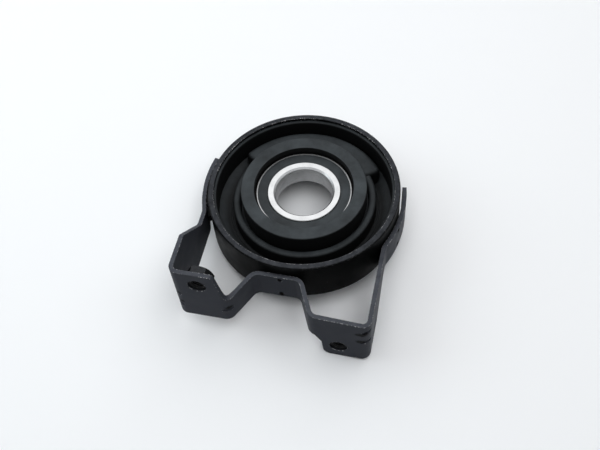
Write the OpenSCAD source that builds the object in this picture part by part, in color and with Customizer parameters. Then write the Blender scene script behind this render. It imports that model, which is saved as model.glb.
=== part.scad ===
// Driveshaft centre bearing: a sealed ball bearing held in rubber inside a steel sleeve,
// on a bracket folded from one steel strap. Millimetres. The origin is the middle of the
// bearing, Z is the axis of the shaft, and the feet bolt to a face at -Y.

/* [Bearing] */
// Diameter of the bore that takes the shaft
bore_d = 35; // [25:0.5:50]
// Radial wall of the inner ring at its shoulders
inner_wall = 4.5; // [3.5:0.1:7]
// Radial wall of the outer ring behind its raceway
outer_wall = 2.54; // [2:0.02:5]
// Depth of both raceways below the shoulders
race_depth = 1.8; // [1.2:0.1:2.2]
// Diameter of a ball
ball_d = 7.94; // [6:0.02:9]
// Number of balls
ball_n = 11; // [8:1:12]
// Gap between a ball and each raceway
race_gap = 0.16; // [0.1:0.01:0.25]
// Chamfer on the edges of the rings that meet the shaft and the seat
ring_chamfer = 1; // [0.5:0.1:1.5]
// Chamfer on the other edges of the rings
edge_break = 0.3; // [0.1:0.05:0.5]

/* [Cage] */
// Thickness of the pressed cage sheet
cage_t = 0.8; // [0.5:0.05:1]
// Gap between a ball and its pocket
pocket_gap = 0.15; // [0.1:0.01:0.3]
// Gap between the cage and the shoulders of the rings
cage_room = 0.5; // [0.3:0.05:0.8]
// Diameter of a cage rivet
rivet_d = 1.1; // [0.8:0.1:1.4]
// How far a rivet head stands out all round
rivet_head = 0.4; // [0.2:0.05:0.5]

/* [Seals] */
// Thickness of a seal
seal_t = 1.1; // [0.8:0.05:2]
// Free height between the cage and a seal
seal_room = 0.5; // [0.3:0.05:1]
// How far a seal lies below the face of the bearing
seal_recess = 0.48; // [0.2:0.02:1]
// Width of the step in the outer ring that holds a seal
seal_step = 1.4; // [1:0.1:1.8]
// Gap between the lip of a seal and the turning inner ring
lip_gap = 0.25; // [0.2:0.01:0.4]
// Length of the thinned lip of a seal
lip_w = 1.4; // [1:0.1:2]
// Radius of the bead that snaps into the outer ring
bead_r = 0.35; // [0.2:0.05:0.4]

/* [Rubber boss] */
// Wall of the pressed steel seat round the bearing
seat_t = 1.2; // [0.8:0.1:2]
// Cover of the snap lip and the seat's flange over the outer ring
snap_w = 1.75; // [1:0.05:2.5]
// Height of the snap lip above the bearing
snap_h = 4.5; // [3:0.1:7]
// Radial wall of the boss outside the seat
boss_wall = 4.97; // [4:0.01:8]
// Depth of the boss below the seat
boss_drop = 1.2; // [0.5:0.1:3]
// Rounding of the boss at its top edge
boss_round = 2.2; // [1:0.1:3]

/* [Rubber web] */
// Radial width of the flexing web between the boss and the rubber wall
web_w = 15.6; // [15:0.1:22]
// Thickness of the web
web_t = 6; // [4:0.1:8]
// Level of the web's upper face
web_top = -3; // [-5:0.1:-1]
// Depth of the hollow under the web
web_hollow = 2.2; // [1:0.1:3]
// Radial wall of the rubber inside the sleeve
wall_t = 3; // [1.5:0.1:5]
// Gap between the rubber wall and the turned-in rim
wall_low = 0.3; // [0.1:0.05:2]
// Length of sleeve left bare below the rubber wall
wall_short = 2.5; // [0.5:0.1:6]
// Height of the inner ridge above the web
ridge_h = 4.1; // [2:0.1:5]
// Width of the inner ridge
ridge_w = 3.4; // [2:0.1:4]
// Gap between the boss and the inner ridge
ridge_gap = 1.8; // [1:0.1:2.5]
// Height of the thin bead above the web
thin_h = 3.4; // [2:0.1:4.5]
// Width of the thin bead
thin_w = 1; // [0.6:0.1:1.6]
// Gap between the inner ridge and the thin bead
thin_gap = 1.7; // [1:0.1:2.2]
// Height of the outer ridge above the web
rim_ridge_h = 5.1; // [3:0.1:6]
// Width of the outer ridge
rim_ridge_w = 3; // [2:0.1:4]
// Gap between the thin bead and the outer ridge
rim_ridge_gap = 1.2; // [0.8:0.1:2]

/* [Stop block] */
// Height of the stop block above the web
stop_h = 5.4; // [4.4:0.1:6.5]
// Rounding of the stop block's upper edge
stop_round = 1.8; // [0.5:0.1:3]
// Angle where the stop block begins
stop_from = 36; // [30:1:50]
// Angle where the stop block ends
stop_to = 158; // [140:1:165]
// Angle left open as a pocket at each end of the stop block
pocket_angle = 19; // [10:1:25]

/* [Sleeve] */
// Sheet thickness of the sleeve
sleeve_t = 2; // [1.2:0.1:3]
// Height of the sleeve
sleeve_h = 29.5; // [25:0.5:40]
// Height of the rim above the face of the bearing
rim_rise = 4.1; // [2:0.1:6]
// Width of the turned-in rim
rim_w = 3.55; // [2.8:0.05:4.5]
// Rounding of the rim's outer edge
rim_round = 1.2; // [0.5:0.1:2]
// Bend radius inside the rim
rim_bend = 0.6; // [0.3:0.1:0.8]

/* [Strap] */
// Sheet thickness of the bracket
strap_t = 2.5; // [2:0.1:3.5]
// Height of the plain strap
strap_h = 20; // [16:0.5:28]
// Drop of the strap below the rim of the sleeve
strap_drop = 7; // [4:0.5:9]
// Angle by which the strap's edges fall from the saddle to the right
strap_lean = 4.2; // [0:0.1:5]
// Gap between the strap and the sleeve at the saddle and the right arc
strap_gap = 0.3; // [0.2:0.05:0.6]
// Gap between the strap and the sleeve at the left arc
left_gap = 1.9; // [0.2:0.1:2.5]
// How much wider than the sleeve the left arc is bent
left_spare = 10; // [6:0.5:16]
// How much wider than the sleeve the right arc is bent
right_spare = 13; // [8:0.5:20]
// Angle below the X axis where the left arc comes closest and is welded
left_touch = 16; // [12:0.5:18]
// Angle below the X axis where the right arc comes closest
right_touch = 17; // [12:0.5:20]
// Angle that the left arc reaches above the X axis
left_reach = 12; // [5:0.5:20]
// Angle that the right arc reaches above the X axis
right_reach = 11.3; // [6:0.1:16]
// How far the left leg stands inside the sleeve's widest line
left_inset = 2.4; // [1.5:0.1:4]
// How far the right leg stands inside the sleeve's widest line
right_inset = 6; // [4:0.1:8]
// Distance of the feet's outer face below the sleeve
foot_drop = 23.9; // [20:0.1:32]
// Bend radius where a foot turns into its leg, on the middle of the sheet
foot_bend = 4; // [3:0.1:5]
// Bend radius at the lower end of the slopes, on the middle of the sheet
slope_bend = 5; // [3:0.1:6]
// Bend radius at the saddle, on the middle of the sheet
saddle_bend = 6.5; // [4:0.1:8]
// Bend radius where a leg meets its arc, on the middle of the sheet
leg_bend = 12; // [6:0.5:15]
// Left corner of the saddle, from the axis to the middle of the sheet
saddle_left = 17; // [13:0.1:19]
// Right corner of the saddle, from the axis to the middle of the sheet
saddle_right = 10.6; // [8:0.1:13]
// Inner corner of the left foot, from the axis to the middle of the sheet
left_foot_end = 27.4; // [24:0.1:29]
// Inner corner of the right foot, from the axis to the middle of the sheet
right_foot_end = 20.4; // [17:0.1:22]

/* [Left ear] */
// Height of the left ear above the strap
left_ear_h = 24.2; // [18:0.1:30]
// Width of the left ear's top edge along the foot
left_ear_w = 25.5; // [23:0.1:26]
// Lean of the left ear's free side
left_ear_lean = 4.5; // [2:0.1:5]
// Rounding of the left ear's free corners
left_ear_round = 3; // [1:0.1:5]
// Fillet where the left ear runs into the strap
left_ear_fillet = 5; // [3:0.1:6]
// Length of the left ear's top edge along the leg
left_ear_run = 24.5; // [18:0.5:30]
// Length along the leg over which the left ear slopes down
left_ear_slope = 24; // [10:0.5:26]
// Hole centre below the top of the left ear
left_hole_down = 10.7; // [9:0.1:14]
// Hole centre from the outer face of the left leg
left_hole_in = 15.6; // [14:0.1:16]

/* [Right ear] */
// Depth of the right ear below the strap
right_ear_h = 21.3; // [18:0.1:26]
// Width of the right ear's bottom edge along the foot
right_ear_w = 27; // [26:0.1:28]
// Lean of the right ear's free side
right_ear_lean = 1.1; // [0.5:0.1:2]
// Rounding of the right ear's free corners
right_ear_round = 5; // [1:0.1:6]
// Width of the shoulder between the strap and the right ear's free side
right_shoulder_w = 4.3; // [3:0.1:5]
// Height of that shoulder
right_shoulder_h = 7.5; // [5:0.1:9]
// Length of the right ear's bottom edge along the leg
right_ear_run = 26; // [18:0.5:30]
// Length along the leg over which the right ear slopes up
right_ear_slope = 26; // [10:0.5:28]
// Hole centre above the bottom of the right ear
right_hole_up = 10.7; // [9:0.1:13]
// Hole centre from the outer face of the right leg
right_hole_in = 18.3; // [15:0.1:18.8]

/* [Pressed details] */
// Angle below the X axis where the right arc is welded
right_weld = 11.5; // [8:0.5:16]
// Angle below the X axis, on the left, where the saddle is welded
saddle_weld = 88.5; // [84:0.5:94]
// Diameter of a weld dimple
dimple_d = 3.2; // [2.5:0.1:4]
// Depth of a weld dimple
dimple_depth = 0.8; // [0.4:0.1:1.2]
// Distance between the two dimples of a weld
dimple_pitch = 14.6; // [9:0.1:15]
// Half height of a stiffening dart
dart_r = 1.7; // [1:0.1:2]
// Depth of a dart at the bend
dart_depth = 1.3; // [0.8:0.1:1.6]
// Distance between the two darts of a foot
dart_pitch = 11; // [8:0.1:12]
// Shift of a foot's darts from the middle of the strap towards its ear
dart_shift = 5.4; // [0:0.1:6]

/* [Weld nuts] */
// Size of a weld nut across its flats
nut_af = 14; // [13:0.5:16]
// Height of a weld nut
nut_h = 6.5; // [5:0.1:9]
// Diameter of the round collar that centres a nut in its foot
collar_d = 10.5; // [9.5:0.1:11]
// How far the collar stops short of the foot's outer face
collar_short = 1.2; // [0.5:0.1:1.8]
// Gap round the collar in its hole
collar_gap = 0.1; // [0.05:0.01:0.2]
// Core diameter of the thread
thread_core_d = 6.8; // [5:0.05:8]

/* [Fits] */
// Gap left between pressed, bonded or welded pieces
seat_gap = 0.03; // [0.02:0.01:0.1]

/* [Hidden] */

$fn = 96;
far = 300;
spare = 5;
facet_depth = 0.01;
paint = "#26292e";
rubber = "#1b1c1f";
bright_steel = "#c4c6c9";
plain_steel = "#6a6d72";

// Radii of the bearing, from the bore outwards
bore_r = bore_d / 2;
ball_r = ball_d / 2;
groove_r = ball_r + race_gap;
inner_shoulder_r = bore_r + inner_wall;
pitch_r = inner_shoulder_r - race_depth + groove_r;
outer_land_r = pitch_r + groove_r - race_depth;
seal_r = outer_land_r + seal_step;
bearing_r = pitch_r + groove_r + outer_wall;

// Levels of the bearing, from its middle outwards
pocket_r = ball_r + pocket_gap;
cage_top = pocket_r + cage_t;
seal_z = cage_top + seal_room;
half_w = seal_z + seal_t + seal_recess;

// Radii and levels of the seat, the rubber and the sleeve
seat_r = bearing_r + seat_gap;
boss_in_r = seat_r + seat_t + seat_gap;
snap_r = bearing_r - snap_w;
boss_r = boss_in_r + boss_wall;
wall_r = boss_r + web_w;
sleeve_in_r = wall_r + wall_t + seat_gap;
sleeve_r = sleeve_in_r + sleeve_t;
seat_floor = -half_w - seat_gap;
boss_top = half_w + snap_h;
rim_top = half_w + rim_rise;
sleeve_bottom = rim_top - sleeve_h;

// Ridges of the web, from the boss outwards
ridge_mid = boss_r + ridge_gap + ridge_w / 2;
thin_mid = ridge_mid + ridge_w / 2 + thin_gap + thin_w / 2;
rim_ridge_mid = thin_mid + thin_w / 2 + rim_ridge_gap + rim_ridge_w / 2;
stop_r = rim_ridge_mid + rim_ridge_w / 2;

// Places of the strap, in plan on the middle of its sheet
strap_top = rim_top - strap_drop;
strap_bottom = strap_top - strap_h;
strap_mid = (strap_top + strap_bottom) / 2;
weld_r = sleeve_r + strap_gap;
left_arc_r = sleeve_r + left_gap + left_spare + strap_t / 2;
right_arc_r = weld_r + right_spare + strap_t / 2;
left_arc_at = left_spare * [cos(left_touch), sin(left_touch)];
right_arc_at = right_spare * [-cos(right_touch), sin(right_touch)];
left_leg_x = -(sleeve_r - left_inset + strap_t / 2);
right_leg_x = sleeve_r - right_inset + strap_t / 2;
left_turn = acos((leg_bend + left_arc_at.x - left_leg_x) / (left_arc_r + leg_bend));
right_turn = acos((leg_bend - right_arc_at.x + right_leg_x) / (right_arc_r + leg_bend));
saddle_y = -(weld_r + strap_t / 2);
foot_face_y = -(sleeve_r + foot_drop);
foot_y = foot_face_y + strap_t / 2;
foot_back_y = foot_face_y + strap_t;

// Places of the ears and their holes
left_leg_face = left_leg_x - strap_t / 2;
right_leg_face = right_leg_x + strap_t / 2;
left_ear_top = strap_top + left_ear_h;
right_ear_low = strap_bottom - right_ear_h;
right_ear_side = right_leg_face - right_ear_w - right_ear_lean;
left_hole = [left_leg_face + left_hole_in, left_ear_top - left_hole_down];
right_hole = [right_leg_face - right_hole_in, right_ear_low + right_hole_up];
hole_r = collar_d / 2 + collar_gap;

function ball_name(i) = str("ball_", i);
function unit(v) = v / norm(v);
function flat(p) = [p.x, p.y];
function left_of(v) = [-v.y, v.x];
function polar(r, angle) = r * [cos(angle), sin(angle)];
function turning(a, b) = atan2(a.x * b.y - a.y * b.x, a * b);

// Headings, bends and setbacks of a path whose corners are [x, y, bend radius]
function heading(path, i) = unit(flat(path[i + 1]) - flat(path[i]));
function bend(path, i) = turning(heading(path, i - 1), heading(path, i));
function setback(path, i) = path[i][2] * tan(abs(bend(path, i)) / 2);
function bend_out(path, i) = -sign(bend(path, i)) * left_of(heading(path, i - 1));
function bend_mid(path, i) =
    flat(path[i]) - heading(path, i - 1) * setback(path, i) - bend_out(path, i) * path[i][2];

// Points along a path, moved to its left by an offset, with the bends in fine steps
function bend_side(path, i, off) =
    let (turn = bend(path, i), r = path[i][2] - sign(turn) * off, out = bend_out(path, i),
         steps = ceil(abs(turn) / (2 * acos(1 - facet_depth / r))))
    [for (k = [0:steps]) let (w = turn * k / steps)
        bend_mid(path, i) + r * (out * cos(w) + left_of(out) * sin(w))];
function path_side(path, off) =
    let (last = len(path) - 1)
    concat([flat(path[0]) + off * left_of(heading(path, 0))],
           [for (i = [1:last - 1]) each bend_side(path, i, off)],
           [flat(path[last]) + off * left_of(heading(path, last - 1))]);
function spaced(pts) =
    [for (i = [0:len(pts) - 1]) if (i == 0 || norm(pts[i] - pts[i - 1]) > facet_depth) pts[i]];
function backwards(pts) = [for (i = [len(pts) - 1:-1:0]) pts[i]];
function sheet_outline(path, t) =
    concat(spaced(path_side(path, t / 2)), backwards(spaced(path_side(path, -t / 2))));
function both_halves(pts) = concat(pts, [for (p = backwards(pts)) [p.x, -p.y]]);

// Points of a closed outline whose corners are [x, y, rounding radius]
function corner(pts, i, steps = 12) =
    let (n = len(pts), p = flat(pts[i]), r = pts[i][2],
         a = unit(p - flat(pts[(i + n - 1) % n])),
         b = unit(flat(pts[(i + 1) % n]) - p),
         turn = turning(a, b), inward = sign(turn) * r * left_of(a),
         mid = p - a * r * tan(abs(turn) / 2) + inward)
    r == 0 ? [p] : [for (k = [0:steps]) let (w = turn * k / steps)
        mid - inward * cos(w) - left_of(inward) * sin(w)];
function rounded(pts) = [for (i = [0:len(pts) - 1]) each corner(pts, i)];

// Corners of the strap in plan, from its left end to its right end
strap_path =
    let (left_from = 180 - left_reach, left_half = (left_turn + left_reach) / 2,
         right_half = (right_turn + right_reach) / 2,
         left_join = leg_bend * tan(left_turn / 2) * [sin(left_turn), -cos(left_turn)],
         right_join = leg_bend * tan(right_turn / 2) * [-sin(right_turn), -cos(right_turn)])
    [concat(left_arc_at + polar(left_arc_r, left_from), 0),
     concat(left_arc_at + polar(left_arc_r / cos(left_half), left_from + left_half), left_arc_r),
     concat(left_arc_at + polar(left_arc_r, 180 + left_turn) + left_join, leg_bend),
     [left_leg_x, foot_y, foot_bend],
     [-left_foot_end, foot_y, slope_bend],
     [-saddle_left, saddle_y, saddle_bend],
     [saddle_right, saddle_y, saddle_bend],
     [right_foot_end, foot_y, slope_bend],
     [right_leg_x, foot_y, foot_bend],
     concat(right_arc_at + polar(right_arc_r, -right_turn) + right_join, leg_bend),
     concat(right_arc_at + polar(right_arc_r / cos(right_half), right_half - right_turn), right_arc_r),
     concat(right_arc_at + polar(right_arc_r, right_reach), 0)];
left_foot_corner = 3;
left_slope_corner = 4;
right_foot_corner = 8;

// Outlines of the ears: the foot's in X and Z, the leg's in Y and Z
left_foot_outline = [
    [left_leg_face - spare, strap_bottom, 0],
    [left_leg_face - spare, left_ear_top, 0],
    [left_leg_face + left_ear_w, left_ear_top, left_ear_round],
    [left_leg_face + left_ear_w + left_ear_lean, strap_top, left_ear_fillet],
    [0, strap_top, 0],
    [0, strap_bottom, 0]];
left_leg_outline = [
    [foot_face_y - spare, strap_bottom, 0],
    [foot_face_y - spare, left_ear_top, 0],
    [foot_face_y + left_ear_run, left_ear_top, left_ear_round],
    [foot_face_y + left_ear_run + left_ear_slope, strap_top, left_ear_fillet],
    [0, strap_top, 0],
    [0, strap_bottom, 0]];
right_foot_outline = [
    [right_leg_face + spare, strap_mid, 0],
    [right_leg_face + spare, right_ear_low, 0],
    [right_leg_face - right_ear_w, right_ear_low, right_ear_round],
    [right_ear_side, strap_bottom - right_shoulder_h, edge_break],
    [right_ear_side - right_shoulder_w, strap_bottom, 0],
    [right_ear_side - right_shoulder_w, strap_mid, 0]];
right_leg_outline = [
    [foot_face_y - spare, strap_mid, 0],
    [foot_face_y - spare, right_ear_low, 0],
    [foot_face_y + right_ear_run, right_ear_low, right_ear_round],
    [foot_face_y + right_ear_run + right_ear_slope, strap_bottom, right_ear_round],
    [0, strap_bottom, 0],
    [0, strap_mid, 0]];

// Outline of the plain strap in X and Z
function fall(x) = max(0, x - saddle_right) * tan(strap_lean);
band_outline = [
    for (x = [-far / 2, saddle_right, far / 2]) [x, strap_top - fall(x)],
    for (x = [far / 2, saddle_right, -far / 2]) [x, strap_bottom - fall(x)]];

// Welds as [angle, gap to the sleeve, level]
welds = [
    [180 + left_touch, left_gap, strap_mid],
    [180 + saddle_weld, strap_gap, strap_mid],
    [-right_weld, strap_gap, strap_mid - fall(sleeve_r * cos(right_weld))]];

// Darts as [corner of the path, level]
darts = [
    for (side = [-1, 1]) [left_foot_corner, strap_mid + dart_shift + side * dart_pitch / 2],
    for (side = [-1, 1]) [right_foot_corner, strap_mid - dart_shift + side * dart_pitch / 2],
    [left_slope_corner, strap_mid]];

// Upright rib with a round top
module rib_section(mid, w, low, high) {
    translate([mid - w / 2, low]) square([w, high - low - w / 2]);
    translate([mid, high - w / 2]) circle(d = w);
}

// Part of a turn about the axis
module sweep(from, to) {
    rotate([0, 0, from]) rotate_extrude(angle = to - from) children();
}

// Space taken by an ear, within the outline of its foot and that of its leg
module ear_space(foot_outline, leg_outline) {
    intersection() {
        rotate([90, 0, 0]) linear_extrude(far) polygon(rounded(foot_outline));
        translate([-far / 2, 0, 0]) rotate([90, 0, 90])
            linear_extrude(far) polygon(rounded(leg_outline));
    }
}

// Lays a cylinder along the sheet at a bend of the strap, at a distance from the bend's middle
module at_bend(i, out_r, z) {
    out = unit(flat(strap_path[i]) - bend_mid(strap_path, i));
    translate(concat(bend_mid(strap_path, i) + out * out_r, z))
        rotate([0, 0, atan2(out.y, out.x) - 90]) rotate([0, 90, 0]) children();
}

// Stiffening dart: the rib inside a bend and the dent outside it
module dart_rib(i, z) {
    face_r = strap_path[i][2] + strap_t / 2;
    rib_r = face_r - strap_t - dart_depth + dart_r;
    half = abs(bend(strap_path, i)) / 2;
    run = (face_r / cos(half) - rib_r - dart_r) / tan(half);
    at_bend(i, rib_r, z) cylinder(r = dart_r, h = 2 * run, center = true);
}
module dart_dent(i, z) {
    face_r = strap_path[i][2] + strap_t / 2;
    at_bend(i, face_r + dart_r - dart_depth, z) cylinder(r = dart_r, h = 4 * face_r, center = true);
}

// Places a shape at both spots of each weld, from the face of the sleeve outwards along its Z
module at_welds() {
    for (weld = welds, side = [-1, 1]) {
        $gap = weld[1];
        rotate([0, 0, weld[0]]) translate([sleeve_r, 0, weld[2] + side * dimple_pitch / 2])
            rotate([0, 90, 0]) children();
    }
}

// Places a shape at a hole of a foot, its Z pointing to the sleeve
module at_foot(hole, y) {
    translate([hole.x, y, hole.y]) rotate([-90, 0, 0]) children();
}

module mount_bracket() {
    dimple_r = (pow(dimple_d / 2, 2) + pow(dimple_depth, 2)) / (2 * dimple_depth);
    color(paint) difference() {
        union() {
            intersection() {
                translate([0, 0, -far / 2]) linear_extrude(far)
                    polygon(sheet_outline(strap_path, strap_t));
                union() {
                    rotate([90, 0, 0]) linear_extrude(far, center = true) polygon(band_outline);
                    ear_space(left_foot_outline, left_leg_outline);
                    ear_space(right_foot_outline, right_leg_outline);
                }
            }
            for (dart = darts) dart_rib(dart[0], dart[1]);
            at_welds() translate([0, 0, seat_gap]) cylinder(d = dimple_d, h = $gap + strap_t / 2);
        }
        for (dart = darts) dart_dent(dart[0], dart[1]);
        at_welds() translate([0, 0, $gap + strap_t + dimple_r - dimple_depth]) sphere(dimple_r);
        for (hole = [left_hole, right_hole])
            at_foot(hole, foot_face_y - strap_t) cylinder(r = hole_r, h = 3 * strap_t);
    }
}

// Hexagonal nut seated at Z = 0, with its centring collar below
module weld_nut() {
    corner_r = nut_af / sqrt(3);
    face_r = nut_af / 2 - edge_break;
    chamfer = (corner_r - face_r) * tan(30);
    collar_l = strap_t - collar_short;
    color(plain_steel) difference() {
        union() {
            intersection() {
                translate([0, 0, seat_gap]) cylinder(r = corner_r, h = nut_h - seat_gap, $fn = 6);
                rotate_extrude() polygon([[0, 0], [corner_r, 0], [corner_r, nut_h - chamfer],
                    [face_r, nut_h], [0, nut_h]]);
            }
            translate([0, 0, -collar_l]) cylinder(d = collar_d, h = collar_l + nut_h / 2);
        }
        translate([0, 0, -far / 2]) cylinder(d = thread_core_d, h = far);
    }
}
module left_weld_nut() {
    at_foot(left_hole, foot_back_y) weld_nut();
}
module right_weld_nut() {
    at_foot(right_hole, foot_back_y) weld_nut();
}

module outer_sleeve() {
    rim_low = rim_top - sleeve_t;
    color(paint) rotate_extrude() polygon(rounded([
        [sleeve_r, sleeve_bottom, edge_break],
        [sleeve_r, rim_top, rim_round],
        [sleeve_r - rim_w, rim_top, edge_break],
        [sleeve_r - rim_w, rim_low, edge_break],
        [sleeve_in_r, rim_low, rim_bend],
        [sleeve_in_r, sleeve_bottom, edge_break]]));
}

// Steel cup bonded into the boss, with a flange below the outer ring
module bearing_seat() {
    out_r = seat_r + seat_t;
    color(plain_steel) rotate_extrude() polygon(rounded([
        [out_r, half_w, 0],
        [out_r, seat_floor - seat_t, seat_t],
        [snap_r, seat_floor - seat_t, 0],
        [snap_r, seat_floor, 0],
        [seat_r, seat_floor, edge_break],
        [seat_r, half_w, 0]]));
}

// Boss round the seat, with the lip that snaps over the outer ring
module boss_section() {
    snap_z = half_w + seat_gap;
    below_z = seat_floor - seat_t - seat_gap;
    polygon(rounded([
        [snap_r, snap_z, 0],
        [boss_in_r, snap_z, 0],
        [boss_in_r, below_z, 0],
        [snap_r, below_z, 0],
        [snap_r, below_z - boss_drop, 0],
        [boss_r, below_z - boss_drop, edge_break],
        [boss_r, boss_top, boss_round],
        [snap_r, boss_top, edge_break]]));
}

// Web with the ridges that run all round, hollow underneath
module web_section() {
    half_chord = web_w / 2 - ridge_gap;
    hollow_r = (pow(half_chord, 2) + pow(web_hollow, 2)) / (2 * web_hollow);
    difference() {
        translate([boss_in_r + boss_wall / 2, web_top - web_t])
            square([boss_wall / 2 + web_w + wall_t / 2, web_t]);
        translate([boss_r + web_w / 2, web_top - web_t + web_hollow - hollow_r]) circle(hollow_r);
    }
    rib_section(ridge_mid, ridge_w, web_top - web_hollow / 2, web_top + ridge_h);
    rib_section(thin_mid, thin_w, web_top - web_hollow / 2, web_top + thin_h);
    rib_section(wall_r + wall_t / 2, wall_t, sleeve_bottom + wall_short, rim_top - sleeve_t - wall_low);
}

// Block that stops the boss on the side away from the feet
module stop_section() {
    low = web_top - web_hollow / 2;
    inside = boss_r - boss_wall / 2;
    polygon(rounded([
        [inside, low, 0],
        [stop_r, low, 0],
        [stop_r, web_top + stop_h, stop_round],
        [inside, web_top + stop_h, 0]]));
}

module rubber_diaphragm() {
    color(rubber) union() {
        rotate_extrude() boss_section();
        rotate_extrude() web_section();
        sweep(stop_from, stop_to) stop_section();
        sweep(stop_to + pocket_angle, 360 + stop_from - pocket_angle)
            rib_section(rim_ridge_mid, rim_ridge_w, web_top - web_hollow / 2, web_top + rim_ridge_h);
    }
}

module inner_ring() {
    color(bright_steel) rotate_extrude() difference() {
        polygon(both_halves([
            [inner_shoulder_r, half_w - edge_break],
            [inner_shoulder_r - edge_break, half_w],
            [bore_r + ring_chamfer, half_w],
            [bore_r, half_w - ring_chamfer]]));
        translate([pitch_r, 0]) circle(groove_r);
    }
}

module outer_ring() {
    color(bright_steel) rotate_extrude() difference() {
        polygon(both_halves([
            [bearing_r, half_w - ring_chamfer],
            [bearing_r - ring_chamfer, half_w],
            [seal_r, half_w],
            [seal_r, seal_z - seat_gap],
            [outer_land_r, seal_z - seat_gap]]));
        translate([pitch_r, 0]) circle(groove_r);
        for (side = [-1, 1]) translate([seal_r, side * (seal_z + seal_t / 2)])
            circle(bead_r + seat_gap);
    }
}

// Seal above the balls: a lip at the inner ring and a bead in the outer ring
module seal() {
    lip_r = inner_shoulder_r + lip_gap;
    edge_r = seal_r - seat_gap;
    color(rubber) rotate_extrude() {
        polygon([
            [lip_r, seal_z + seal_t / 4],
            [lip_r + lip_w, seal_z],
            [edge_r, seal_z],
            [edge_r, seal_z + seal_t],
            [lip_r + lip_w, seal_z + seal_t],
            [lip_r, seal_z + seal_t * 3 / 4]]);
        translate([edge_r, seal_z + seal_t / 2]) circle(bead_r);
    }
}
module front_seal() {
    seal();
}
module rear_seal() {
    mirror([0, 0, 1]) seal();
}

// Places a shape on the circle of the balls, a number of steps round
module on_pitch(step) {
    rotate([0, 0, step * 360 / ball_n]) translate([pitch_r, 0, 0]) children();
}

// Pressed half of the cage above the middle, with a pocket over each ball
module half_cage() {
    color(plain_steel) difference() {
        intersection() {
            union() {
                translate([0, 0, seat_gap]) cylinder(r = outer_land_r, h = cage_t);
                for (i = [1:ball_n]) on_pitch(i) sphere(cage_top);
            }
            translate([0, 0, seat_gap]) cylinder(r = outer_land_r - cage_room, h = cage_top);
        }
        cylinder(r = inner_shoulder_r + cage_room, h = far, center = true);
        for (i = [1:ball_n]) {
            on_pitch(i) sphere(pocket_r);
            on_pitch(i + 0.5) cylinder(d = rivet_d + 2 * seat_gap, h = far, center = true);
        }
    }
}
module front_cage() {
    half_cage();
}
module rear_cage() {
    mirror([0, 0, 1]) half_cage();
}

// Rivets between the balls, with a head on each half of the cage
module cage_rivets() {
    face = cage_t + 2 * seat_gap;
    color(bright_steel) for (i = [1:ball_n]) on_pitch(i + 0.5) {
        cylinder(d = rivet_d, h = 2 * face, center = true);
        for (side = [0, 1]) mirror([0, 0, side]) translate([0, 0, face])
            cylinder(d = rivet_d + 2 * rivet_head, h = rivet_head);
    }
}

module ball(i) {
    color(bright_steel) on_pitch(i) sphere(ball_r);
}

mount_bracket();
outer_sleeve();
left_weld_nut();
right_weld_nut();
rubber_diaphragm();
bearing_seat();
outer_ring();
inner_ring();
front_seal();
rear_seal();
front_cage();
rear_cage();
cage_rivets();
for (i = [1:ball_n]) ball(i);
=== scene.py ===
import math

import bpy
import numpy as np
from mathutils import Matrix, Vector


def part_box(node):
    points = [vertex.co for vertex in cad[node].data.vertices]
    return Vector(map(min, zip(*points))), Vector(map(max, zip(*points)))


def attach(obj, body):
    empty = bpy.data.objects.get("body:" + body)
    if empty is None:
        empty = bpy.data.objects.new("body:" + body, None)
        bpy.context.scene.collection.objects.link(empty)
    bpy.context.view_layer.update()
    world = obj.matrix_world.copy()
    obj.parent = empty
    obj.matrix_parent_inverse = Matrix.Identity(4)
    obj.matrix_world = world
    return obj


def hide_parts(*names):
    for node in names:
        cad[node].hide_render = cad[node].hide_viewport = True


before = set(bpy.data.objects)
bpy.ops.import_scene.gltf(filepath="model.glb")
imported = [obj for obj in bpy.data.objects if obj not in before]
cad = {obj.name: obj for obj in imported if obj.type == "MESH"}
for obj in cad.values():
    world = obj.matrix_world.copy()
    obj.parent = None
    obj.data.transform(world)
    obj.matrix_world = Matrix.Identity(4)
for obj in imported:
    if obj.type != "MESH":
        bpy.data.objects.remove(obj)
scene = bpy.context.scene
scene.view_settings.view_transform = "Standard"
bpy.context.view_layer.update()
print("frame:", len(cad), "nodes")
mm = 0.001


def addNode(tree, kind, inputs=None, **settings):
    made = tree.nodes.new(kind)
    for name, value in settings.items():
        setattr(made, name, value)
    for name, value in (inputs or {}).items():
        made.inputs[name].default_value = value
    return made


def link(tree, *pairs):
    for source, target in pairs:
        tree.links.new(source, target)


# a socket takes either a link or a fixed value
def feed(tree, socket, value):
    if isinstance(value, bpy.types.NodeSocket):
        tree.links.new(value, socket)
    else:
        socket.default_value = value


def newGroup(name, inputs, outputs, treeKind="ShaderNodeTree"):
    tree = bpy.data.node_groups.new(name, treeKind)
    for label, kind, *value in inputs:
        socket = tree.interface.new_socket(label, in_out="INPUT", socket_type=kind)
        if value:
            socket.default_value = value[0]
    for label, kind in outputs:
        tree.interface.new_socket(label, in_out="OUTPUT", socket_type=kind)
    return tree, addNode(tree, "NodeGroupInput"), addNode(tree, "NodeGroupOutput")


def math2(tree, operation, first, second=0.0, clamp=False):
    made = addNode(tree, "ShaderNodeMath", operation=operation, use_clamp=clamp)
    feed(tree, made.inputs[0], first)
    feed(tree, made.inputs[1], second)
    return made.outputs[0]


def product(tree, *factors):
    total = factors[0]
    for factor in factors[1:]:
        total = math2(tree, "MULTIPLY", total, factor)
    return total


def ramp(tree, source, low, high, toLow=0.0, toHigh=1.0):
    made = addNode(tree, "ShaderNodeMapRange",
                   {"From Min": low, "From Max": high, "To Min": toLow, "To Max": toHigh})
    tree.links.new(source, made.inputs["Value"])
    return made.outputs["Result"]


def noise(tree, vector, scale, detail=2.0, rough=0.5):
    made = addNode(tree, "ShaderNodeTexNoise",
                   {"Scale": scale, "Detail": detail, "Roughness": rough})
    tree.links.new(vector, made.inputs["Vector"])
    return made.outputs[0]


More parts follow.
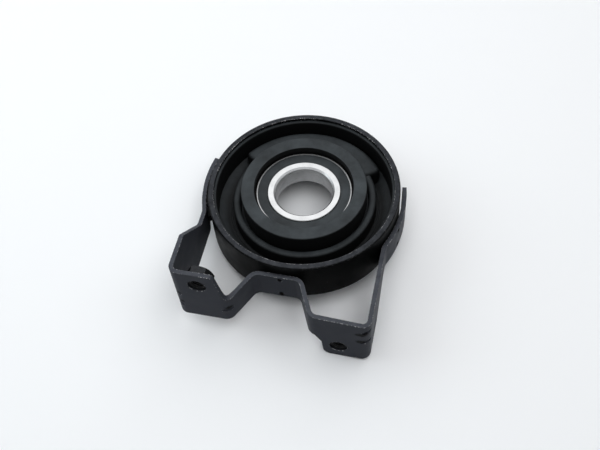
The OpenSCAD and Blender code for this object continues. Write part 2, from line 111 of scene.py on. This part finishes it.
# noise settings with the range that its result is stretched over
def patches(tree, vector, look):
    return ramp(tree, noise(tree, vector, *look["noise"]), *look["range"])


def mixColour(tree, factor, first, second):
    made = addNode(tree, "ShaderNodeMix", data_type="RGBA")
    feed(tree, made.inputs[0], factor)
    feed(tree, made.inputs[6], first)  # inputs 6 and 7 are the colours
    feed(tree, made.inputs[7], second)
    return made.outputs[2]


def bump(tree, height, distance, strength=1.0, normal=None):
    made = addNode(tree, "ShaderNodeBump", {"Strength": strength, "Distance": distance})
    tree.links.new(height, made.inputs["Height"])
    if normal:
        tree.links.new(normal, made.inputs["Normal"])
    return made.outputs["Normal"]


def objectPlace(tree):
    return addNode(tree, "ShaderNodeTexCoord").outputs["Object"]


def split(tree, vector):
    made = addNode(tree, "ShaderNodeSeparateXYZ")
    tree.links.new(vector, made.inputs[0])
    return made.outputs


# sheet paint: fine grain, softened edges, chips and dust, painted shade in creases, and edges and
# upward faces lightened partly by wear and partly as painted highlight
sheet = {
    "bevelSamples": 6, "edge": (0.995, 0.86),  # cosine between true and softened normal
    "top": (0.7, 0.95),  # upward share of the normal
    "specks": {"noise": (1000.0, 2.0, 0.6), "range": (0.52, 0.6)},
    "knocked": {"noise": (75.0, 3.0, 0.6), "range": (0.38, 0.52)},  # stretches knocked more
    "dust": {"noise": (1500.0, 1.0), "range": (0.72, 0.8, 0.0, 0.35)},
    "cloud": {"noise": (90.0, 3.0), "range": (0.3, 0.7, -0.07, 0.07)},
    "scuff": {"noise": (260.0, 4.0, 0.65), "range": (0.3, 0.7, 0.35, 1.0)},
    "creaseShade": (0.0008, 0.0008, 0.0009, 1), "creaseShadeReach": 0.003, "creaseShadeSamples": 6,
    "creaseShadeRange": (0.9, 0.5, 0.0, 0.9),
    "fineGrain": (900.0, 3.0, 0.6), "coarseGrain": (160.0, 2.0), "coarseShare": 2.0,
    "grainDepth": 0.00003, "grainStrength": 0.6}


def paintGroup():
    tree, given, result = newGroup(
        "sheetPaint",
        [("Paint", "NodeSocketColor", (0.010, 0.011, 0.015, 1)),
         ("Worn", "NodeSocketColor", (0.105, 0.112, 0.128, 1)),
         ("Roughness", "NodeSocketFloat", 0.4),
         ("Edge", "NodeSocketFloat", 0.0004),
         ("Chips", "NodeSocketFloat", 0.6),
         ("Top Wear", "NodeSocketFloat", 0.3),
         ("Edge Wear", "NodeSocketFloat", 0.18)],
        [("Colour", "NodeSocketColor"), ("Roughness", "NodeSocketFloat"),
         ("Chip", "NodeSocketFloat"), ("Normal", "NodeSocketVector")])
    where = objectPlace(tree)
    facing = addNode(tree, "ShaderNodeNewGeometry").outputs["Normal"]
    soft = addNode(tree, "ShaderNodeBevel", samples=sheet["bevelSamples"])
    apart = addNode(tree, "ShaderNodeVectorMath", operation="DOT_PRODUCT")
    link(tree, (given.outputs["Edge"], soft.inputs["Radius"]),
         (facing, apart.inputs[0]), (soft.outputs[0], apart.inputs[1]))
    edge = ramp(tree, apart.outputs["Value"], *sheet["edge"])  # where the two normals part
    struck = product(tree, patches(tree, where, sheet["specks"]),
                     patches(tree, where, sheet["knocked"]), edge)
    chip = math2(tree, "MULTIPLY", struck, given.outputs["Chips"], True)
    # upward faces lightened: partly wear, partly painted highlight from the light above
    top = product(tree, ramp(tree, split(tree, facing)["Z"], *sheet["top"]),
                  patches(tree, where, sheet["scuff"]), given.outputs["Top Wear"])
    # edges lightened: partly rubbed wear, partly painted highlight
    rubbedAndLit = math2(tree, "MAXIMUM", product(tree, edge, given.outputs["Edge Wear"]), top)
    dustAndSheen = math2(tree, "MAXIMUM", rubbedAndLit, patches(tree, where, sheet["dust"]))
    wornAndSheen = mixColour(tree, dustAndSheen, given.outputs["Paint"], given.outputs["Worn"])
    # painted shade: the paint darkens where ambient occlusion finds a crease or hollow
    shade = addNode(tree, "ShaderNodeAmbientOcclusion", {"Distance": sheet["creaseShadeReach"]},
                    samples=sheet["creaseShadeSamples"])
    creaseShade = ramp(tree, shade.outputs["AO"], *sheet["creaseShadeRange"])
    cloudy = math2(tree, "ADD", given.outputs["Roughness"], patches(tree, where, sheet["cloud"]))
    coarse = product(tree, noise(tree, where, *sheet["coarseGrain"]), sheet["coarseShare"])
    grain = math2(tree, "ADD", noise(tree, where, *sheet["fineGrain"]), coarse)
    grained = bump(tree, grain, sheet["grainDepth"], sheet["grainStrength"], soft.outputs[0])
    link(tree, (mixColour(tree, creaseShade, wornAndSheen, sheet["creaseShade"]), result.inputs["Colour"]),
         (cloudy, result.inputs["Roughness"]), (chip, result.inputs["Chip"]),
         (grained, result.inputs["Normal"]))
    return tree


# moulded rubber: fine grain, and a pale bloom on what faces up, partly real bloom and partly
# painted sheen from the light above.
# The levels are in metres: most on the boss, less on ridge and stop, little in the channel
mould = {
    "upward": (0.5, 1.0), "bossLevel": (0.0085, 0.0105, 0.2, 1.0),
    "ridgeLevel": (-0.0089, -0.0072, 0.2, 0.75),
    "patch": {"noise": (70.0, 4.0, 0.6), "range": (0.3, 0.75, 0.35, 1.0)},
    "roughRange": (0.35, 1.0, 0.5, 0.62),
    "fineGrain": (1300.0, 3.0, 0.65), "coarseGrain": (240.0, 2.0),
    "grainDepth": 0.00003, "grainStrength": 0.5}


def rubberGroup():
    tree, given, result = newGroup(
        "mouldedRubber",
        [("Rubber", "NodeSocketColor", (0.0028, 0.003, 0.0032, 1)),
         ("Bloom", "NodeSocketColor", (0.064, 0.074, 0.081, 1)),
         ("Amount", "NodeSocketFloat", 0.6)],
        [("Colour", "NodeSocketColor"), ("Roughness", "NodeSocketFloat"),
         ("Normal", "NodeSocketVector")])
    where = objectPlace(tree)
    facing = addNode(tree, "ShaderNodeNewGeometry").outputs["Normal"]
    level = split(tree, where)["Z"]
    face = math2(tree, "MAXIMUM", ramp(tree, level, *mould["bossLevel"]),
                 ramp(tree, level, *mould["ridgeLevel"]))
    patch = patches(tree, where, mould["patch"])
    upward = ramp(tree, split(tree, facing)["Z"], *mould["upward"])
    # pale bloom on upward faces, partly real bloom and partly painted sheen
    bloomAndSheen = math2(tree, "MULTIPLY", product(tree, patch, face, upward),
                  given.outputs["Amount"], True)
    grain = math2(tree, "ADD", noise(tree, where, *mould["fineGrain"]),
                  noise(tree, where, *mould["coarseGrain"]))
    colour = mixColour(tree, bloomAndSheen, given.outputs["Rubber"], given.outputs["Bloom"])
    link(tree, (colour, result.inputs["Colour"]),
         (ramp(tree, patch, *mould["roughRange"]), result.inputs["Roughness"]),
         (bump(tree, grain, mould["grainDepth"], mould["grainStrength"]),
          result.inputs["Normal"]))
    return tree


# turned steel: fine rings about the axis, and painted shade past a given radius
turning = {
    "ringScale": 6000.0, "sweepScale": 1.2, "lines": (1.0, 3.0, 0.6),
    "lineRough": (0.3, 0.7, -0.05, 0.08), "lineDepth": 0.000006, "lineStrength": 0.5,
    "stain": {"noise": (180.0, 4.0, 0.6), "range": (0.35, 0.75, 1.0, 0.82)},
    "lipShade": (0.004, 0.004, 0.004, 1), "lipShadeFade": (0.0, 0.0003)}


def steelGroup():
    tree, given, result = newGroup(
        "turnedSteel",
        [("Steel", "NodeSocketColor", (0.43, 0.435, 0.44, 1)),
         ("Roughness", "NodeSocketFloat", 0.28),
         ("Dirt From", "NodeSocketFloat", 1.0)],
        [("Colour", "NodeSocketColor"), ("Roughness", "NodeSocketFloat"),
         ("Normal", "NodeSocketVector")])
    where = objectPlace(tree)
    part = split(tree, where)
    x, y = part["X"], part["Y"]
    squares = math2(tree, "ADD", product(tree, x, x), product(tree, y, y))
    radius = math2(tree, "SQRT", squares)
    angle = math2(tree, "ARCTAN2", y, x)
    turned = addNode(tree, "ShaderNodeCombineXYZ")
    link(tree, (product(tree, radius, turning["ringScale"]), turned.inputs["X"]),
         (product(tree, angle, turning["sweepScale"]), turned.inputs["Y"]),
         (product(tree, part["Z"], turning["ringScale"]), turned.inputs["Z"]))
    lines = noise(tree, turned.outputs[0], *turning["lines"])
    tone = addNode(tree, "ShaderNodeVectorMath", operation="SCALE")
    link(tree, (given.outputs["Steel"], tone.inputs[0]),
         (patches(tree, where, turning["stain"]), tone.inputs["Scale"]))
    # painted shade: darker past the given radius
    past = math2(tree, "SUBTRACT", radius, given.outputs["Dirt From"])
    lipShaded = mixColour(tree, ramp(tree, past, *turning["lipShadeFade"]), tone.outputs[0],
                      turning["lipShade"])
    rough = math2(tree, "ADD", given.outputs["Roughness"],
                  ramp(tree, lines, *turning["lineRough"]))
    link(tree, (lipShaded, result.inputs["Colour"]), (rough, result.inputs["Roughness"]),
         (bump(tree, lines, turning["lineDepth"], turning["lineStrength"]),
          result.inputs["Normal"]))
    return tree


def newMaterial(name, group, inputs, principled):
    made = bpy.data.materials.new(name)
    made.use_nodes = True
    tree = made.node_tree
    surface = tree.nodes["Principled BSDF"]
    effect = addNode(tree, "ShaderNodeGroup", node_tree=group)
    for label, value in inputs.items():
        effect.inputs[label].default_value = value
    for label, value in principled.items():
        surface.inputs[label].default_value = value
    link(tree, (effect.outputs["Normal"], surface.inputs["Normal"]),
         (effect.outputs["Roughness"], surface.inputs["Roughness"]))
    return made, tree, surface, effect


# painted shade in the hollows that the press tool and welds left in the strap: middles and half
# sizes in millimetres
pressShadeMarks = {
    "upperDart": {"at": (49.7, -81.3, -7.9), "half": (4.3, 3.6, 2.1)},
    "lowerDart": {"at": (49.9, -81.3, -16.2), "half": (4.5, 3.6, 2.1)},
    "upperWeld": {"at": (-1.9, -59.9, 1.0), "half": (1.8, 1.8, 1.5)},
    "lowerWeld": {"at": (-1.3, -60.4, -14.5), "half": (2.1, 2.0, 1.7)},
    "slopeDart": {"at": (-26.7, -80.4, -4.1), "half": (3.0, 3.0, 2.4)},
    "upperNotch": {"at": (-54.8, -81.2, 6.5), "half": (1.8, 2.2, 1.6)},
    "lowerNotch": {"at": (-54.2, -81.4, -2.5), "half": (1.8, 2.2, 1.6)},
    "upperArcWeld": {"at": (59.3, -11.5, -3.3), "half": (1.7, 1.7, 1.6)},
    "lowerArcWeld": {"at": (59.7, -11.0, -17.9), "half": (1.7, 1.7, 1.6)}}
markShadeLook = {"colour": (0.0006, 0.0006, 0.0007, 1), "fade": (1.1, 0.5),
            "ragged": {"noise": (900.0, 2.0), "range": (0.3, 0.7, -0.2, 0.2)}}


def markShadeMask(tree):
    where = objectPlace(tree)
    ragged = patches(tree, where, markShadeLook["ragged"])
    deepest = 0.0
    for mark in pressShadeMarks.values():
        off = addNode(tree, "ShaderNodeVectorMath", operation="SUBTRACT")
        off.inputs[1].default_value = [mm * c for c in mark["at"]]
        share = addNode(tree, "ShaderNodeVectorMath", operation="DIVIDE")
        share.inputs[1].default_value = [mm * c for c in mark["half"]]
        far = addNode(tree, "ShaderNodeVectorMath", operation="LENGTH")
        link(tree, (where, off.inputs[0]), (off.outputs[0], share.inputs[0]),
             (share.outputs[0], far.inputs[0]))
        reach = math2(tree, "ADD", far.outputs["Value"], ragged)
        deepest = math2(tree, "MAXIMUM", ramp(tree, reach, *markShadeLook["fade"]), deepest)
    return deepest


bareSteel = (0.62, 0.62, 0.62, 1)
paintShader = paintGroup()
rubberShader = rubberGroup()
steelShader = steelGroup()


# chips show bare steel
def paintMaterial(name, inputs, gloss, pressShaded=False):
    made, tree, surface, effect = newMaterial(name, paintShader, inputs,
                                              {"Specular IOR Level": gloss})
    chip = effect.outputs["Chip"]
    colour = mixColour(tree, chip, effect.outputs["Colour"], bareSteel)
    if pressShaded:
        # painted shade: dark patches at the press dents, weld dimples and notches
        colour = mixColour(tree, markShadeMask(tree), colour, markShadeLook["colour"])
    link(tree, (colour, surface.inputs["Base Color"]), (chip, surface.inputs["Metallic"]))
    return made


def plainMaterial(name, group, inputs, principled):
    made, tree, surface, effect = newMaterial(name, group, inputs, principled)
    link(tree, (effect.outputs["Colour"], surface.inputs["Base Color"]))
    return made


def rubberMaterial(name, amount, gloss):
    return plainMaterial(name, rubberShader, {"Amount": amount}, {"Specular IOR Level": gloss})


def steelMaterial(name, inputs):
    return plainMaterial(name, steelShader, inputs, {"Metallic": 1.0})


bracketPaint = paintMaterial("bracketPaint", {
    "Paint": (0.038, 0.041, 0.050, 1), "Roughness": 0.45, "Edge": 0.00045, "Chips": 1.0,
    "Top Wear": 0.5}, gloss=0.03, pressShaded=True)
# the rim's top and edges are lightened partly as wear and partly as a painted highlight along the
# rim
sleevePaint = paintMaterial("sleevePaint", {
    "Paint": (0.0016, 0.0018, 0.0019, 1), "Roughness": 0.42, "Edge": 0.001, "Chips": 1.0,
    "Top Wear": 0.45, "Edge Wear": 0.5}, gloss=0.03)
nutFinish = paintMaterial("nutFinish", {
    "Paint": (0.004, 0.0043, 0.0048, 1), "Roughness": 0.4, "Edge": 0.0003, "Chips": 0.2,
    "Top Wear": 0.2}, gloss=0.1)
diaphragmRubber = rubberMaterial("diaphragmRubber", amount=0.8, gloss=0.1)
sealRubber = rubberMaterial("sealRubber", amount=0.9, gloss=0.12)
ringSteel = steelMaterial("ringSteel", {})
# painted shade on the outer ring's face from 28.5 mm out, beside the rubber lip's wall
raceSteel = steelMaterial("raceSteel", {
    "Steel": (0.29, 0.292, 0.296, 1), "Roughness": 0.42, "Dirt From": 0.0285})
cageSteel = steelMaterial("cageSteel", {"Steel": (0.45, 0.45, 0.46, 1), "Roughness": 0.36})
seatSteel = steelMaterial("seatSteel", {"Steel": (0.3, 0.3, 0.31, 1), "Roughness": 0.45})
ballSteel = steelMaterial("ballSteel", {"Steel": (0.82, 0.82, 0.83, 1), "Roughness": 0.1})

finishes = {
    "mount_bracket": (bracketPaint, "bracket_paint"), "outer_sleeve": (sleevePaint, "sleeve_paint"),
    "left_weld_nut": (nutFinish, "nut_steel"), "right_weld_nut": (nutFinish, "nut_steel"),
    "rubber_diaphragm": (diaphragmRubber, "rubber"), "bearing_seat": (seatSteel, "seat_steel"),
    "outer_ring": (raceSteel, "ring_steel"), "inner_ring": (ringSteel, "ring_steel"),
    "front_seal": (sealRubber, "seal_rubber"), "rear_seal": (sealRubber, "seal_rubber"),
    "front_cage": (cageSteel, "cage_steel"), "rear_cage": (cageSteel, "cage_steel"),
    "cage_rivets": (cageSteel, "cage_steel")}
for name, obj in cad.items():
    finish, slot = finishes.get(name, (ballSteel, "ball_steel"))
    obj.data.materials.clear()
    obj.data.materials.append(finish)
print("materials:", len(bpy.data.materials))


def freshObject(name, data):
    obj = bpy.data.objects.new(name, data)
    scene.collection.objects.link(obj)
    return obj


# leaves the modifiers' result as a plain mesh in metres, smooth but for its sharp edges
def settle(obj, place, sharp):
    bpy.context.view_layer.update()
    settled = obj.evaluated_get(bpy.context.evaluated_depsgraph_get())
    whole = bpy.data.meshes.new_from_object(settled)
    obj.modifiers.clear()
    obj.data = whole
    whole.transform(place @ Matrix.Scale(mm, 4))
    whole.shade_smooth()
    whole.set_sharp_from_angle(angle=math.radians(sharp))


# rubber diaphragm: radii and levels in millimetres, angles in degrees about the axis
rubber = {"lip": 29.9, "lipUnder": 7.03, "flange": 29.25, "flangeUnder": -8.26, "seat": 32.26,
          "step": 35.15, "boss": 38.03, "bossLow": -9.46, "bossRound": 0.9, "breakEdge": 0.3,
          "wall": 52.83, "wallRound": 1.2, "rimGap": 2.3,
          "webTop": -3.0, "channel": -9.0, "webLow": -13.6,
          "hollow": 2.2, "hollowHalf": 6.5, "hollowSteps": 16,
          "ridgeIn": 38.93, "ridgeOut": 43.73, "ridgeTop": 1.1, "ridgeRound": 1.9,
          "bead": 45.43, "beadHalf": 0.5, "beadTop": -8.3, "beadRound": 0.4,
          "toe": 47.43, "toeTop": -5.8, "around": 256, "bendSteps": 7, "sharp": 32.0}
stop = {"inside": 36.6, "outside": 50.63, "low": -11.3, "top": 2.4, "round": 3.0,
        "end": 3.2, "endSteps": 7, "from": 32.0, "to": 150.0, "steps": 60}


# corners are (radius, level, rounding), counterclockwise
def roundedSection(corners):
    outline = []
    for k, (r, z, bend) in enumerate(corners):
        here = np.array((r, z))
        if not bend:
            outline.append(here)
            continue
        beside = corners[k - 1], corners[(k + 1) % len(corners)]
        back, ahead = (np.array(corner[:2]) - here for corner in beside)
        back, ahead = back / np.linalg.norm(back), ahead / np.linalg.norm(ahead)
        half = math.acos(back @ ahead) / 2
        middle = here + (back + ahead) / np.linalg.norm(back + ahead) * bend / math.sin(half)
        start, end = (here + side * bend / math.tan(half) - middle for side in (back, ahead))
        swing = math.pi - 2 * half
        for t in np.linspace(0, 1, rubber["bendSteps"]):
            reach = math.sin((1 - t) * swing) * start + math.sin(t * swing) * end
            outline.append(middle + reach / math.sin(swing))
    return np.array(outline)


# one section at each turn; a part turn gets end faces
def turnedMesh(name, sections, turns, wholeTurn):
    count, rings = len(sections[0]), len(turns)
    spots = np.concatenate([
        np.stack([s[:, 0] * math.cos(a), s[:, 0] * math.sin(a), s[:, 1]], axis=-1)
        for s, a in zip(sections, turns)])
    faces = [(a * count + i, (a + 1) % rings * count + i,
              (a + 1) % rings * count + (i + 1) % count, a * count + (i + 1) % count)
             for a in range(rings if wholeTurn else rings - 1) for i in range(count)]
    if not wholeTurn:
        last = range(count * (rings - 1), count * rings)
        faces += [tuple(range(count)), tuple(reversed(last))]
    mesh = bpy.data.meshes.new(name)
    mesh.from_pydata(spots.tolist(), [], faces)
    return mesh


def diaphragmSection():
    lo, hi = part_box("rubber_diaphragm")
    outside, low, top = hi[0] / mm, lo[2] / mm, hi[2] / mm
    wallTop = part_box("outer_sleeve")[1][2] / mm - rubber["rimGap"]  # below the turned-in rim
    r = rubber
    across = np.linspace(-1, 1, r["hollowSteps"] + 1)
    hollow = [(r["bead"] + r["hollowHalf"] * t, r["webLow"] + r["hollow"] * (1 - t * t), 0)
              for t in across]
    wall = [(r["wall"], r["webLow"], 0), (r["wall"], low, r["wallRound"]),
            (outside, low, 0), (outside, wallTop, 0), (r["wall"], wallTop, r["wallRound"]),
            (r["wall"], r["toeTop"], 0), (r["toe"], r["channel"], 0)]
    beadOut, beadIn = r["bead"] + r["beadHalf"], r["bead"] - r["beadHalf"]
    bead = [(beadOut, r["channel"], 0), (beadOut, r["beadTop"], r["beadRound"]),
            (beadIn, r["beadTop"], r["beadRound"]), (beadIn, r["channel"], 0)]
    ridge = [(r["ridgeOut"], r["channel"], r["breakEdge"]),
             (r["ridgeOut"], r["ridgeTop"], r["ridgeRound"]),
             (r["ridgeIn"], r["ridgeTop"], r["ridgeRound"]),
             (r["ridgeIn"], r["webTop"], r["breakEdge"])]
    boss = [(r["boss"], r["webTop"], 0), (r["boss"], top, r["bossRound"]),
            (r["lip"], top, r["breakEdge"]), (r["lip"], r["lipUnder"], 0),
            (r["seat"], r["lipUnder"], 0), (r["seat"], r["flangeUnder"], 0),
            (r["flange"], r["flangeUnder"], 0), (r["flange"], r["bossLow"], r["breakEdge"]),
            (r["step"], r["bossLow"], 0), (r["step"], r["webLow"], 0)]
    return roundedSection(hollow + wall + bead + ridge + boss)


def stopMesh():
    def section(inset):
        outside, top = stop["outside"] - inset, stop["top"] - inset
        return roundedSection([(stop["inside"], stop["low"], 0), (outside, stop["low"], 0),
                               (outside, top, stop["round"]), (stop["inside"], top, 0)])

    over = np.linspace(0, math.pi / 2, stop["endSteps"])
    lead = np.degrees(stop["end"] * (1 - np.cos(over)) / stop["outside"])  # the ends roll over
    middle = np.linspace(stop["from"] + lead[-1], stop["to"] - lead[-1], stop["steps"])[1:-1]
    turns = np.concatenate([stop["from"] + lead, middle, stop["to"] - lead[::-1]])
    inset = stop["end"] * (1 - np.sin(over))
    sections = [section(d) for d in np.concatenate([inset, 0 * middle, inset[::-1]])]
    return turnedMesh("stopBlock", sections, np.radians(turns), False)


around = np.arange(rubber["around"]) * 2 * math.pi / rubber["around"]
allRound = [diaphragmSection()] * rubber["around"]
diaphragm = freshObject("diaphragm", turnedMesh("diaphragm", allRound, around, True))
stopBlock = freshObject("stopBlock", stopMesh())
join = diaphragm.modifiers.new("stop", "BOOLEAN")
join.operation, join.solver, join.object = "UNION", "EXACT", stopBlock
settle(diaphragm, Matrix(), rubber["sharp"])
bpy.data.objects.remove(stopBlock)
diaphragm.data.materials.clear()
diaphragm.data.materials.append(diaphragmRubber)
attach(diaphragm, "housing")
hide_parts("rubber_diaphragm")
print("rubber:", len(diaphragm.data.polygons), "faces")

# weld nuts with a cut thread: millimetres, levels along the nut's own axis from the foot's back
nut = {"flats": 14.0, "high": 6.5, "seat": 0.03, "faceBreak": 0.3, "chamfer": 30.0,
       "collar": 5.25, "collarBreak": 0.2, "low": -1.3, "core": 3.4, "root": 4.0,
       "pitch": 1.25, "flank": (1 / 16, 3 / 8),  # flats of an eighth and a quarter pitch
       "mouth": 4.1, "around": 96, "rows": 88, "weld": 0.002, "sharp": 35.0}


# the bore: a grid rolled round the axis, with a tooth that climbs one pitch a turn
def threadGroup():
    tree, given, result = newGroup(
        "nutThread",
        [("Body", "NodeSocketGeometry"), ("Core", "NodeSocketFloat"), ("Root", "NodeSocketFloat"),
         ("Mouth", "NodeSocketFloat"), ("Pitch", "NodeSocketFloat"), ("Low", "NodeSocketFloat"),
         ("High", "NodeSocketFloat"), ("Around", "NodeSocketInt"), ("Rows", "NodeSocketInt"),
         ("Finish", "NodeSocketMaterial")],
        [("Nut", "NodeSocketGeometry")], "GeometryNodeTree")
    low, high, root = (given.outputs[label] for label in ("Low", "High", "Root"))
    grid = addNode(tree, "GeometryNodeMeshGrid", {"Size X": 2 * math.pi})
    link(tree, (math2(tree, "SUBTRACT", high, low), grid.inputs["Size Y"]),
         (math2(tree, "ADD", given.outputs["Around"], 1), grid.inputs["Vertices X"]),
         (given.outputs["Rows"], grid.inputs["Vertices Y"]))
    flat = split(tree, addNode(tree, "GeometryNodeInputPosition").outputs[0])
    turn = flat["X"]
    halfway = product(tree, math2(tree, "ADD", low, high), 0.5)
    along = math2(tree, "ADD", flat["Y"], halfway)
    climb = math2(tree, "SUBTRACT", math2(tree, "DIVIDE", along, given.outputs["Pitch"]),
                  math2(tree, "DIVIDE", turn, 2 * math.pi))
    tooth = ramp(tree, math2(tree, "PINGPONG", climb, 0.5), *nut["flank"])
    depth = product(tree, math2(tree, "SUBTRACT", root, given.outputs["Core"]), tooth)
    inside = math2(tree, "MINIMUM", math2(tree, "SUBTRACT", along, low),
                   math2(tree, "SUBTRACT", high, along))
    radius = math2(tree, "MAXIMUM", math2(tree, "SUBTRACT", root, depth),
                   math2(tree, "SUBTRACT", given.outputs["Mouth"], inside))
    rolled = addNode(tree, "ShaderNodeCombineXYZ")
    link(tree, (product(tree, radius, math2(tree, "COSINE", turn)), rolled.inputs["X"]),
         (product(tree, radius, math2(tree, "SINE", turn)), rolled.inputs["Y"]),
         (along, rolled.inputs["Z"]))
    bore = addNode(tree, "GeometryNodeSetPosition")
    inward = addNode(tree, "GeometryNodeFlipFaces")
    both = addNode(tree, "GeometryNodeJoinGeometry")
    closed = addNode(tree, "GeometryNodeMergeByDistance", {"Distance": nut["weld"]})
    real = addNode(tree, "GeometryNodeRealizeInstances")
    painted = addNode(tree, "GeometryNodeSetMaterial")
    link(tree, (grid.outputs["Mesh"], bore.inputs["Geometry"]),
         (rolled.outputs[0], bore.inputs["Position"]), (bore.outputs[0], inward.inputs[0]),
         (given.outputs["Body"], both.inputs[0]), (inward.outputs[0], both.inputs[0]),
         (both.outputs[0], closed.inputs["Geometry"]), (closed.outputs[0], real.inputs[0]),
         (real.outputs[0], painted.inputs["Geometry"]),
         (given.outputs["Finish"], painted.inputs["Material"]),
         (painted.outputs[0], result.inputs["Nut"]))
    return tree


# the nut's outside, from one mouth of the bore to the other
def nutBody(name):
    around = nut["around"]
    turn = np.arange(around) * 2 * math.pi / around
    flat = nut["flats"] / 2 / np.cos(turn % (math.pi / 3) - math.pi / 6)
    faceR = nut["flats"] / 2 - nut["faceBreak"]
    slope = math.tan(math.radians(nut["chamfer"]))
    outline = [(nut["mouth"], nut["high"]), (faceR, nut["high"]),
               (flat, nut["high"] - (flat - faceR) * slope), (flat, nut["seat"]),
               (nut["collar"], nut["seat"]), (nut["collar"], nut["low"] + nut["collarBreak"]),
               (nut["collar"] - nut["collarBreak"], nut["low"]), (nut["mouth"], nut["low"])]
    rings = [np.stack([r * np.cos(turn), r * np.sin(turn), z + 0 * turn], axis=-1)
             for r, z in outline]
    faces = [(row + around + i, row + around + (i + 1) % around, row + (i + 1) % around, row + i)
             for row in range(0, around * (len(rings) - 1), around) for i in range(around)]
    mesh = bpy.data.meshes.new(name)
    mesh.from_pydata(np.concatenate(rings).tolist(), [], faces)
    return mesh


nutThread = threadGroup()
threadSizes = {"Core": nut["core"], "Root": nut["root"], "Mouth": nut["mouth"],
               "Pitch": nut["pitch"], "Low": nut["low"], "High": nut["high"],
               "Around": nut["around"], "Rows": nut["rows"], "Finish": nutFinish}


def threadedNut(name, place):
    obj = freshObject(name, nutBody(name))
    cut = obj.modifiers.new("thread", "NODES")
    cut.node_group = nutThread
    for socket in nutThread.interface.items_tree:
        if socket.name in threadSizes:
            cut[socket.identifier] = threadSizes[socket.name]
    onAxis = Matrix.Rotation(-math.pi / 2, 4, "X")
    settle(obj, Matrix.Translation(place) @ onAxis, nut["sharp"])
    return obj


for side in ("left", "right"):
    node = side + "_weld_nut"
    lo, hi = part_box(node)
    back = hi[1] - nut["high"] * mm
    made = threadedNut(side + "Nut", ((lo[0] + hi[0]) / 2, back, (lo[2] + hi[2]) / 2))
    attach(made, "housing")
    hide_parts(node)
print("nuts: threaded")

# pale studio: the fill lights the part, and straight, mirrored and transmitted rays see
# the background instead
studio = {"fill": (0.93, 0.965, 1.0, 1), "fillStrength": 0.08,
          "seen": (0.93, 0.95, 0.97, 1), "seenStrength": 1.0}


def shownRays(tree):
    path = addNode(tree, "ShaderNodeLightPath")
    straight, mirrored, through = (
        path.outputs[label] for label in ("Is Camera Ray", "Is Glossy Ray", "Is Transmission Ray"))
    return math2(tree, "MAXIMUM", straight, math2(tree, "MAXIMUM", mirrored, through))


# floor under the resting part, in metres; far off it runs into the pale background
rest = {"slopeX": -0.1029, "slopeY": 0.0946, "level": -0.0265, "reach": 3.0,
        "fade": (0.4, 1.0), "colour": (0.91, 0.925, 0.945, 1), "rough": 0.6, "gloss": 0.2}
corners = [(x * rest["reach"], y * rest["reach"])
           for x, y in ((-1, -1), (1, -1), (1, 1), (-1, 1))]
floorMesh = bpy.data.meshes.new("floor")
floorMesh.from_pydata([(x, y, rest["slopeX"] * x + rest["slopeY"] * y + rest["level"])
                       for x, y in corners], [], [(0, 1, 2, 3)])
floor = freshObject("floor", floorMesh)
floorFinish = bpy.data.materials.new("floorFinish")
floorFinish.use_nodes = True
paperTree = floorFinish.node_tree
paper = paperTree.nodes["Principled BSDF"]
paper.inputs["Base Color"].default_value = rest["colour"]
paper.inputs["Roughness"].default_value = rest["rough"]
paper.inputs["Specular IOR Level"].default_value = rest["gloss"]
glow = addNode(paperTree, "ShaderNodeEmission",
               {"Color": studio["seen"], "Strength": studio["seenStrength"]})
away = addNode(paperTree, "ShaderNodeVectorMath", operation="LENGTH")
fade = addNode(paperTree, "ShaderNodeMixShader")
link(paperTree, (objectPlace(paperTree), away.inputs[0]),
     (product(paperTree, shownRays(paperTree),
              ramp(paperTree, away.outputs["Value"], *rest["fade"])), fade.inputs[0]),
     (paper.outputs[0], fade.inputs[1]), (glow.outputs[0], fade.inputs[2]),
     (fade.outputs[0], paperTree.nodes["Material Output"].inputs["Surface"]))
floorMesh.materials.append(floorFinish)

world = bpy.data.worlds.new("studio")
scene.world = world
world.use_nodes = True
sky = world.node_tree
pale = sky.nodes["Background"]
pale.inputs["Color"].default_value = studio["fill"]
pale.inputs["Strength"].default_value = studio["fillStrength"]
seen = addNode(sky, "ShaderNodeBackground",
               {"Color": studio["seen"], "Strength": studio["seenStrength"]})
either = addNode(sky, "ShaderNodeMixShader")
link(sky, (shownRays(sky), either.inputs[0]), (pale.outputs[0], either.inputs[1]),
     (seen.outputs[0], either.inputs[2]),
     (either.outputs[0], sky.nodes["World Output"].inputs["Surface"]))

# lamps face the part: metres and watts
lamps = {
    "topLight": {"at": (0.11, -0.29, 1.06), "size": (0.9, 0.9), "power": 6.2,
                 "colour": (1.0, 1.0, 1.0)},
    "backLight": {"at": (-0.2, 0.62, 0.88), "size": (1.8, 1.1), "power": 7.6,
                  "colour": (1.0, 0.995, 0.985)},
    "rightLight": {"at": (0.65, 0.16, 0.87), "size": (0.7, 0.7), "power": 2.0,
                   "colour": (1.0, 1.0, 1.0)},
    "leftLight": {"at": (-0.86, -0.1, 0.66), "size": (0.7, 0.7), "power": 3.4,
                  "colour": (0.9, 0.975, 1.0)}}
for name, lamp in lamps.items():
    light = bpy.data.lights.new(name, "AREA")
    light.shape = "RECTANGLE"
    light.size, light.size_y = lamp["size"]
    light.energy = lamp["power"]
    light.color = lamp["colour"]
    obj = freshObject(name, light)
    obj.location = lamp["at"]
    obj.rotation_mode = "QUATERNION"
    obj.rotation_quaternion = (-obj.location).to_track_quat("-Z", "Y")
print("stage: floor,", len(lamps), "lights")

# camera: place in metres, its three axes, lens and sensor in millimetres
shot = {"at": (0.08306, -0.29547, 0.41654), "right": (0.97601, 0.21163, -0.05121),
        "up": (-0.14638, 0.81186, 0.56521), "back": (0.16119, -0.54415, 0.82336),
        "lens": 50.863, "sensor": 36.0, "near": 0.01}
camera = freshObject("camera", bpy.data.cameras.new("camera"))
camera.data.lens = shot["lens"]
camera.data.sensor_width = shot["sensor"]
camera.data.clip_start = shot["near"]
axes = Matrix((shot["right"], shot["up"], shot["back"])).transposed().to_4x4()
camera.matrix_world = Matrix.Translation(shot["at"]) @ axes
scene.camera = camera

print("camera set")
